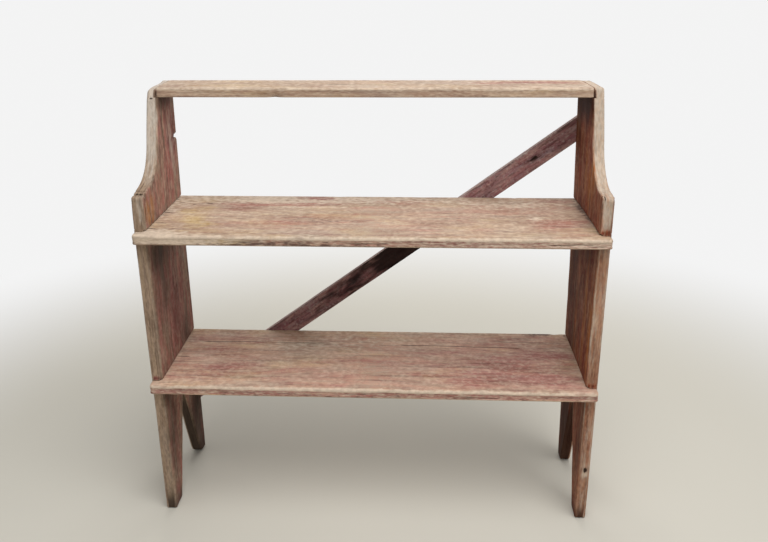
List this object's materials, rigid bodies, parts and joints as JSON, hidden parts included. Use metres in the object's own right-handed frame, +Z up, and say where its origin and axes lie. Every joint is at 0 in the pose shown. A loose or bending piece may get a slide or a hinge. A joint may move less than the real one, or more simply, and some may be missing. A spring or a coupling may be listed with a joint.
{
  "type": "bucket bench",
  "caption": "Step-back bucket bench of nailed pine boards: narrow top shelf, deep housed shelves, coved ends with bootjack legs and a diagonal back brace.",
  "frame": {"origin": "on the floor, at the middle of the bench's outer box", "axes": "+X along the shelves to the right as seen from the front, +Y to the back, +Z up"},
  "size_m": [1, 0.323, 0.979],
  "materials": {
    "end_boards": "weathered pine with worn barn-red paint",
    "shelves": "weathered pine, red paint worn through on top and along the front edge",
    "brace": "rough-sawn pine in dark barn-red paint",
    "nails": "rusted cut iron"
  },
  "bodies": {
    "root": {"left_end_board": "end_boards", "right_end_board": "end_boards", "top_shelf": "shelves", "middle_shelf": "shelves", "bottom_shelf": "shelves", "diagonal_brace": "brace", "left_top_shelf_nails": "nails", "left_middle_shelf_nails": "nails", "left_bottom_shelf_nails": "nails", "right_top_shelf_nails": "nails", "right_middle_shelf_nails": "nails", "right_bottom_shelf_nails": "nails", "brace_left_end_nails": "nails", "brace_right_end_nails": "nails", "brace_middle_shelf_nails": "nails", "brace_bottom_shelf_nails": "nails"}
  },
  "joints": []
}
